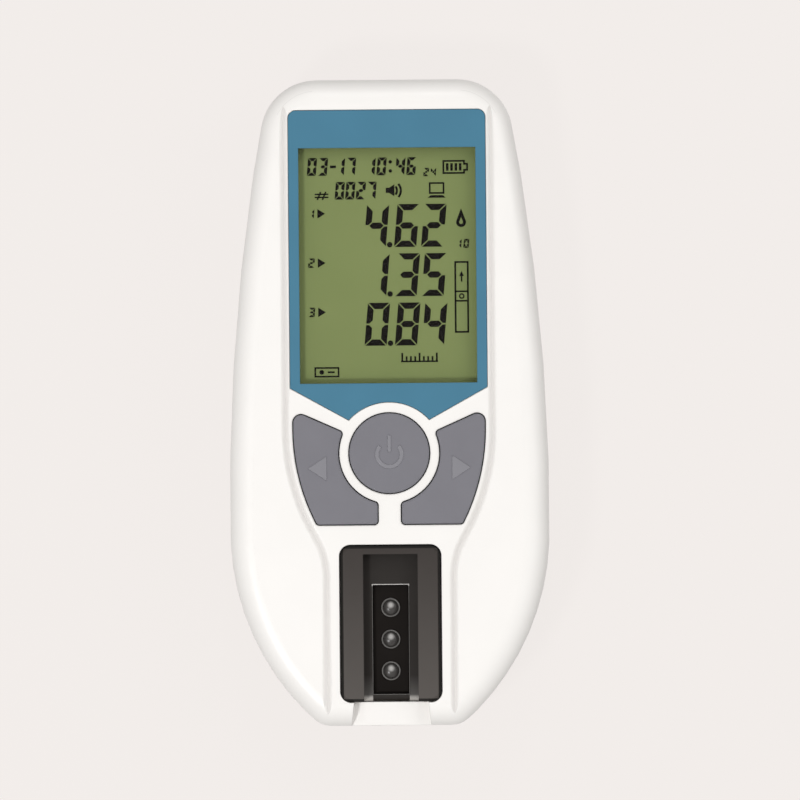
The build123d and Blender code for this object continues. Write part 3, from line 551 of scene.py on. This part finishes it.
def window_material():
    """Clear pane: lets the light through and reflects a little at its outer faces."""
    tint_patch, tint, untinted = 15.0, (0.985, 0.99, 0.985), (1.0, 1.0, 1.0)
    gloss_patch, smoothest, roughest = 5.0, 0.02, 0.08
    refraction = 1.18
    made, g = new_material("clear_pane")
    coords = g.coords()
    clear = g.add("ShaderNodeBsdfTransparent")
    tinted = g.between(g.noise(coords, tint_patch), 0.0, 1.0)
    g.put(g.mix_color(tinted, tint, untinted), clear.inputs["Color"])
    gloss = g.add("ShaderNodeBsdfGlossy")
    g.put(g.between(g.noise(coords, gloss_patch), smoothest, roughest), gloss.inputs["Roughness"])
    fresnel = g.add("ShaderNodeFresnel")
    fresnel.inputs["IOR"].default_value = refraction
    outer = g.math("SUBTRACT", 1.0, g.geometry("Backfacing"))
    share = g.product(fresnel.outputs[0], outer)
    g.output(g.mix_shader(share, clear.outputs[0], gloss.outputs[0]))
    return made


MATERIALS = {
    # slot: name, colour, roughness and what differs from the usual
    "casing": surface("white_shell", (0.905, 0.885, 0.862), 0.36, mottle=0.008, grain=0.5,
                      depth=0.0012, edge=0.4, marks=casing_marks),
    "panel": surface("blue_panel", (0.055, 0.190, 0.290), 0.45, mottle=0.03, grain=0.35,
                     depth=0.002, specular=0.3),
    "window": window_material(),
    "lcd": surface("lcd_cell", (0.200, 0.243, 0.089), 0.5, patch=20.0, grain=0.15,
                   depth=0.0005, specular=0.15, edge=0.1),
    "tray": surface("black_tray", (0.012, 0.012, 0.012), 0.6),
    "light_guide": surface("light_guide", (0.62, 0.66, 0.48), 0.4),
    "elastomer": surface("elastomer", (0.02, 0.02, 0.02), 0.8, grain=0.8, depth=0.02),
    "keys": surface("grey_keys", (0.186, 0.183, 0.206), 0.62, patch=6.0, grain=0.22,
                    depth=0.006, specular=0.35, edge=0.3),
    "silicone": surface("silicone", (0.40, 0.40, 0.38), 0.7),
    "holder": surface("black_holder", (0.037, 0.031, 0.028), 0.55, mottle=0.05, patch=8.0,
                      grain=0.25, specular=0.22, edge=0.3, marks=holder_marks),
    "optics": surface("optics_block", (0.010, 0.008, 0.007), 0.7, mottle=0.1, specular=0.08),
    "lens": surface("dark_lens", (0.045, 0.042, 0.040), 0.30, mottle=0.05, patch=2.0, grain=0.4,
                    depth=0.0005, specular=0.4, edge=0.05, marks=lens_marks),
    "chip": surface("chip", (0.62, 0.58, 0.42), 0.5, patch=1.0),
    "board": surface("circuit_board", (0.012, 0.120, 0.050), 0.4, marks=board_marks),
    "flat_cable": surface("flat_cable", (0.60, 0.35, 0.08), 0.4, grain=0.4, depth=0.01),
    "connector": surface("connector", (0.68, 0.64, 0.54), 0.5),
    "component": surface("component", (0.015, 0.015, 0.017), 0.5, patch=3.0),
    "socket": surface("socket_shell", (0.56, 0.56, 0.57), 0.3, metal=1.0, grain=0.2,
                      depth=0.002, marks=socket_marks),
    "sounder": surface("sounder", (0.012, 0.012, 0.012), 0.55),
    "cell": surface("cell_sleeve", (0.03, 0.09, 0.16), 0.3, patch=4.0, marks=cell_marks),
    "spring_steel": surface("spring_steel", (0.60, 0.59, 0.57), 0.25, metal=1.0, grain=0.2,
                            depth=0.003),
    "screw": surface("screw_steel", (0.30, 0.30, 0.31), 0.32, metal=1.0, patch=1.5, grain=0.2),
    "foot": surface("rubber_pad", (0.018, 0.018, 0.018), 0.82, mottle=0.08, grain=0.4,
                    depth=0.03, specular=0.3, edge=0.5),
}
INK = surface("lcd_ink", (0.007, 0.006, 0.005), 0.6, patch=5.0, grain=0.2, depth=0.0005,
              specular=0.03, edge=0.02)
SYMBOL = surface("key_symbol", (0.215, 0.212, 0.236), 0.5, patch=6.0, grain=0.22, edge=0.06)
RING = surface("lens_ring", (0.115, 0.110, 0.105), 0.4, patch=2.0, grain=0.2, depth=0.001,
               edge=0.08)
# Painted highlight: the port's edge, lighter than the holder and brightest at its display end
TRIM = surface("port_edge_highlight", (0.085, 0.080, 0.075), 0.3, patch=3.0, grain=0.2, depth=0.001,
               edge=0.08, marks=trim_marks)


def flat_flanks():
    """Flat shading on the grooves' long facets, which would take shade from the rounded edge."""
    mesh = NODES["front_casing"].data
    low_z = (box_mm("front_casing")[1][2] - GROOVE_DEPTH - GROOVE_SLACK) * MM
    normals = [normal.vector.copy() for normal in mesh.corner_normals]
    for face in mesh.polygons:
        if abs(face.normal.z - GROOVE_SLOPE) < GROOVE_SPREAD and face.center.z > low_z:
            for corner in face.loop_indices:
                normals[corner] = face.normal
    mesh.normals_split_custom_set(normals)


def dress_nodes():
    """Gives every CAD node the material of its slot in the record."""
    for part in frame["record"]["subparts"]:
        node = NODES[part["node"]]
        node.data.materials.clear()
        node.data.materials.append(MATERIALS[part["material_slot"]])


# Display contents. Places are millimetres to the right and down from the view's upper left corner.
SEGMENTS = {0: "abcdef", 1: "bc", 2: "abged", 3: "abgcd", 4: "fgbc", 5: "afgcd", 6: "afgedc",
            7: "abc", 8: "abcdefg"}
SEGMENT_GAP = 0.12  # share of a segment's thickness
SLANT = 0.09  # lean of the figures, per height
INK_T = 0.02
VIEW_BORDER = 1.0
VIEW_LEFT = box_mm("display_window")[0][0] + VIEW_BORDER
VIEW_TOP = box_mm("display_window")[1][1] - VIEW_BORDER
LCD_FACE = box_mm("lcd_glass")[1][2]
DOT_STEPS = 14
COLON_STEPS = 12
WAVE_STEPS = 8

# Sizes of figures: their width and height, a segment's thickness, and the step to the next figure
Figures = namedtuple("Figures", "width height thick pitch", defaults=(0.0,))
CLOCK_FIGURES = Figures(2.1, 4.15, 0.74, 2.55)
SECONDS_FIGURES = Figures(1.25, 1.95, 0.5, 1.65)
RECORD_FIGURES = Figures(2.1, 4.1, 0.74, 2.45)
READING_FIGURES = Figures(5.15, 9.95, 1.45)
ROW_FIGURES = Figures(1.45, 2.2, 0.48)
STEP_FIGURES = Figures(1.25, 2.1, 0.48, 1.75)

ROW_PITCH = 11.42  # from one reading to the next
READINGS = ((4, 6, 2), (1, 3, 5), (0, 8, 4))
GUIDE_X = 37.6  # middle of the marks down the right side


class Ink:
    """Dark marks on the display, as one piece."""

    def __init__(self, name):
        self.name = name
        self.bm = bmesh.new()

    def place(self, points):
        return [(VIEW_LEFT + x, VIEW_TOP - y) for x, y in points]

    def fill(self, points):
        thin(self.place(points), LCD_FACE, LCD_FACE + INK_T, self.bm)

    def line(self, points, width, closed=False):
        stroke(self.place(points), width, LCD_FACE, LCD_FACE + INK_T, self.bm, closed)

    def digit(self, value, x, y, figures):
        """One seven-segment figure with its upper left corner at x, y."""
        width, height, thick, _ = figures
        gap = SEGMENT_GAP * thick
        middle = height / 2
        top = [(gap, 0), (width - gap, 0), (width - thick - gap, thick), (thick + gap, thick)]
        side = [(0, gap), (thick, thick + gap), (thick, middle - thick / 2 - gap),
                (thick / 2, middle - gap), (0, middle - gap)]
        bar = [(thick / 2 + gap, middle), (thick + gap, middle - thick / 2),
               (width - thick - gap, middle - thick / 2), (width - thick / 2 - gap, middle),
               (width - thick - gap, middle + thick / 2), (thick + gap, middle + thick / 2)]
        shapes = {
            "a": top,
            "b": [(width - u, v) for u, v in side],
            "c": [(width - u, height - v) for u, v in side],
            "d": [(u, height - v) for u, v in top],
            "e": [(u, height - v) for u, v in side],
            "f": side,
            "g": bar,
        }
        for letter in SEGMENTS[value]:
            self.fill([(x + u + SLANT * (height - v), y + v) for u, v in shapes[letter]])

    def number(self, values, x, y, figures):
        for n, value in enumerate(values):
            self.digit(value, x + n * figures.pitch, y, figures)

    def finish(self):
        finish_piece(self.bm, self.name, "casing", INK)


def clock_marks():
    """Date, clock and seconds along the top row."""
    ink = Ink("lcd_clock")
    top = 2.15
    for values, x in (((0, 3), 1.9), ((1, 7), 8.4), ((1, 0), 15.5), ((4, 6), 22.4)):
        ink.number(values, x, top, CLOCK_FIGURES)
    ink.fill(rectangle(8.0, 4.25, width=1.4, length=0.62))
    for y in (3.2, 5.3):
        ink.fill(circle(21.3, y, 0.42, COLON_STEPS))
    ink.number((2, 4), 28.9, 4.65, SECONDS_FIGURES)
    ink.finish()


def battery_sign(ink):
    left, right, tip = 33.6, 38.4, 39.1
    top, tip_top, tip_foot, foot = 3.1, 3.8, 5.2, 5.9
    ink.line([(left, top), (right, top), (right, tip_top), (tip, tip_top), (tip, tip_foot),
              (right, tip_foot), (right, foot), (left, foot)], width=0.42, closed=True)
    for n in range(4):
        ink.fill(rectangle(34.5 + n, (top + foot) / 2, width=0.6, length=1.75))


def number_sign(ink):
    for shift in (0.0, 1.2):
        ink.line([(4.3 + shift, 11.9), (5.1 + shift, 10.0)], width=0.36)
    for y in (10.6, 11.3):
        ink.line([(3.7, y), (6.9, y)], width=0.34)


def speaker_sign(ink):
    back, neck, front = 20.2, 21.0, 22.2
    ink.fill([(back, 9.2), (neck, 9.2), (front, 8.4), (front, 11.2), (neck, 10.4), (back, 10.4)])
    wave_angle = 42
    for radius in (1.4, 2.3):
        ink.line(arc(21.4, 9.85, radius, -wave_angle, wave_angle, WAVE_STEPS), width=0.52)


def computer_sign(ink):
    ink.line(corners(30.4, 33.6, 8.2, 10.5), width=0.4, closed=True)
    ink.fill([(30.6, 11.0), (33.4, 11.0), (34.1, 11.6), (29.9, 11.6)])


def status_marks():
    """Battery, record number, speaker and computer."""
    ink = Ink("lcd_status")
    battery_sign(ink)
    number_sign(ink)
    ink.number((0, 0, 2, 7), 8.3, 7.75, RECORD_FIGURES)
    speaker_sign(ink)
    computer_sign(ink)
    ink.finish()


def value_marks():
    """Three large readings, each with a point after its first figure."""
    ink = Ink("lcd_values")
    top, places = 13.0, (14.95, 22.0, 28.25)
    point_x, point_drop, point_r = 21.0, 9.4, 0.65
    for row, values in enumerate(READINGS):
        y = top + ROW_PITCH * row
        for x, value in zip(places, values):
            ink.digit(value, x, y, READING_FIGURES)
        ink.fill(circle(point_x, y + point_drop, point_r, DOT_STEPS))
    ink.finish()


def scale_sign(ink):
    """Ticks on a line, every fourth of them long."""
    base, long_top, short_top = 49.5, 47.5, 48.3
    ink.line([(23.4, base), (32.0, base)], width=0.36)
    for n in range(9):
        x = 23.7 + n
        ink.line([(x, base), (x, short_top if n % 4 else long_top)], width=0.42)


def card_sign(ink):
    middle = 51.85
    ink.line(corners(3.5, 8.9, middle - 1.0, middle + 1.0), width=0.38, closed=True)
    ink.fill(circle(5.0, middle, 0.55, DOT_STEPS))
    ink.line([(6.4, middle), (8.0, middle)], width=0.42)


def label_marks():
    """Row numbers with pointers, a tick scale and a small card symbol."""
    ink = Ink("lcd_labels")
    top, left = 14.0, 2.0
    back, tip, height = 4.3, 6.1, ROW_FIGURES.height  # of the pointers
    for row in range(len(READINGS)):
        y = top + ROW_PITCH * row
        ink.digit(row + 1, left, y, ROW_FIGURES)
        ink.fill([(back, y), (tip, y + height / 2), (back, y + height)])
    scale_sign(ink)
    card_sign(ink)
    ink.finish()


def guide_marks():
    """Drop, step number and test strip with an arrow, down the right side."""
    ink = Ink("lcd_guide")
    drop = [(GUIDE_X, 15.1)] + arc(GUIDE_X, 17.3, 0.8, -35, 215, DOT_STEPS)
    ink.line(drop, width=0.72, closed=True)
    ink.number((1, 0), 36.3, 21.2, STEP_FIGURES)
    ink.line(rectangle(GUIDE_X, 34.65, width=2.9, length=16.2), width=0.42, closed=True)
    for y in (33.35, 35.55):
        ink.line([(GUIDE_X - 1.4, y), (GUIDE_X + 1.4, y)], width=0.38)
    ink.line(circle(GUIDE_X, 34.45, 0.5, DOT_STEPS), width=0.32, closed=True)
    ink.line([(GUIDE_X, 29.6), (GUIDE_X, 31.1)], width=0.36)
    ink.fill([(GUIDE_X, 28.6), (GUIDE_X + 0.55, 29.8), (GUIDE_X - 0.55, 29.8)])
    ink.finish()


# Keys
KEY_TOP = cad_box[1][2] / MM
EMBOSS = 0.2  # symbols above the face of a key
SYMBOL_ROUNDING = 0.16
RING_R = 2.85  # of the power key's symbol
RING_W = 0.95
RING_SWEEP = (138, 402)  # degrees
RING_DROP = 0.25  # from the key's middle down to the ring's
RING_STEPS = 40
BAR_SPAN = (0.3, 4.2)  # up from the key's middle
BAR_W = 0.85
POINTER = ((14.5, -12.2), (14.5, -18.0), (18.9, -15.1))  # symbol of the right key


def key_cap(node):
    """The key with its face let down, so that its raised symbol ends at the CAD key's height."""
    mesh = NODES[node].data.copy()
    for vertex in mesh.vertices:
        if vertex.co.z > (KEY_TOP - EMBOSS / 2) * MM:
            vertex.co.z -= EMBOSS * MM
    cap = add_object(node.replace("key", "cap"), mesh)
    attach(cap, node)
    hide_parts(node)


def key_symbol(name, strokes=(), outlines=()):
    """Symbol that stands out of a key's face and is rooted as deep in it."""
    foot = KEY_TOP - 2 * EMBOSS
    bm = bmesh.new()
    for points, width in strokes:
        stroke(points, width, foot, KEY_TOP, bm)
    for points in outlines:
        thin(points, foot, KEY_TOP, bm)
    finish_piece(bm, f"{name}_symbol", f"{name}_key", SYMBOL, bevel=SYMBOL_ROUNDING)


def key_symbols():
    """A ring with a bar on the power key, and a pointer on each of the others."""
    low, high = box_mm("power_key")
    middle_y = (low[1] + high[1]) / 2
    ring = arc(0, middle_y - RING_DROP, RING_R, *RING_SWEEP, RING_STEPS)
    bar = [(0, middle_y + end) for end in BAR_SPAN]
    key_symbol("power", strokes=[(ring, RING_W), (bar, BAR_W)])
    for side, name in ((-1, "left"), (1, "right")):
        key_symbol(name, outlines=[[(side * x, y) for x, y in POINTER]])


# Strip holder and optics
TRIM_W = 0.2
TRIM_ROUNDING = 0.07
LENS_RING_W = 0.34
LENS_RING_H = 0.45
LENS_RING_ROUNDING = 0.12
LENS_STEPS = 48
DOME_STEPS = 12
DOME_SMOOTH = radians(50)


def revolved(profile, x, y, steps, bm):
    """Closed solid of revolution about an upright axis; the profile ends on the axis."""
    rings = [[bm.verts.new(((x + r * cos(2 * pi * n / steps)) * MM,
                            (y + r * sin(2 * pi * n / steps)) * MM, z * MM))
              for n in range(steps)] for r, z in profile[:-1]]
    tip = bm.verts.new((x * MM, y * MM, profile[-1][1] * MM))
    for below, above in zip(rings, rings[1:]):
        for n in range(steps):
            after = (n + 1) % steps
            bm.faces.new((below[n], below[after], above[after], above[n]))
    for n in range(steps):
        bm.faces.new((rings[-1][n], rings[-1][(n + 1) % steps], tip))
    bm.faces.new(rings[0][::-1])


def lens_domes():
    """Smooth domes, each in a grey ring."""
    low, high = box_mm("lenses")
    radius = (high[0] - low[0]) / 2
    foot, rise = low[2], high[2] - low[2]
    dome_r = radius - LENS_RING_W
    angles = [pi / 2 * n / DOME_STEPS for n in range(DOME_STEPS + 1)]
    dome = [(dome_r * cos(angle), foot + rise * sin(angle)) for angle in angles]
    bm = bmesh.new()
    for x, y in lens_places():
        revolved(dome, x, y, LENS_STEPS, bm)
    piece = finish_piece(bm, "lens_domes", "casing", MATERIALS["lens"], smooth=DOME_SMOOTH)
    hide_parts("lenses")
    bm = bmesh.new()
    for x, y in lens_places():
        middle = circle(x, y, radius - LENS_RING_W / 2, LENS_STEPS)
        stroke(middle, LENS_RING_W, foot, foot + LENS_RING_H, bm, closed=True)
    finish_piece(bm, "lens_rings", "casing", RING, bevel=LENS_RING_ROUNDING)


def port_trim():
    """Thin edge round the port over the optics, lighter than the holder as a painted highlight."""
    floor = box_mm("strip_holder")[0][2] + HOLDER_FLOOR_T
    edge = corners(-PORT_W / 2, PORT_W / 2, PORT_TOP_Y - PORT_L, PORT_TOP_Y)
    bm = bmesh.new()
    stroke(edge, TRIM_W, floor - TRIM_W / 2, floor + TRIM_W / 2, bm, closed=True)
    finish_piece(bm, "port_trim", "strip_holder", TRIM, bevel=TRIM_ROUNDING)


def door_arrow():
    """Raised arrow on the battery door, by the finger tongue."""
    setback, head_half, head_l = 12.0, 3.0, 4.0  # the setback is from the door's display end
    shaft_y, shaft_w, shaft_l = 6.0, 2.4, 4.1  # the shaft's middle is that far from the tip
    rise, rounding = 0.2, 0.08
    face = box_mm("rear_casing")[0][2]
    tip_y = box_mm("battery_door")[1][1] - setback
    head = [(0, tip_y), (-head_half, tip_y - head_l), (head_half, tip_y - head_l)]
    bm = bmesh.new()
    for outline in (head, rectangle(0, tip_y - shaft_y, shaft_w, shaft_l)):
        thin(outline, face - rise, face + rise, bm)
    finish_piece(bm, "door_arrow", "battery_door", MATERIALS["casing"], bevel=rounding)


def add_floor():
    bm = bmesh.new()
    outline = corners(-FLOOR_HALF, FLOOR_HALF, -FLOOR_HALF, FLOOR_HALF)
    bm.faces.new([bm.verts.new((x, y, 0.0)) for x, y in outline])
    mesh = bpy.data.meshes.new("floor")
    bm.to_mesh(mesh)
    bm.free()
    mesh.materials.append(floor_material())
    floor = add_object("floor", mesh)


bpy.context.scene.view_settings.view_transform = "Standard"
add_camera()
add_lamps()
add_world()
add_floor()
dress_nodes()
flat_flanks()
clock_marks()
status_marks()
value_marks()
label_marks()
guide_marks()
for cad_key in ("power_key", "left_key", "right_key"):
    key_cap(cad_key)
key_symbols()
lens_domes()
port_trim()
door_arrow()

bpy.context.view_layer.update()
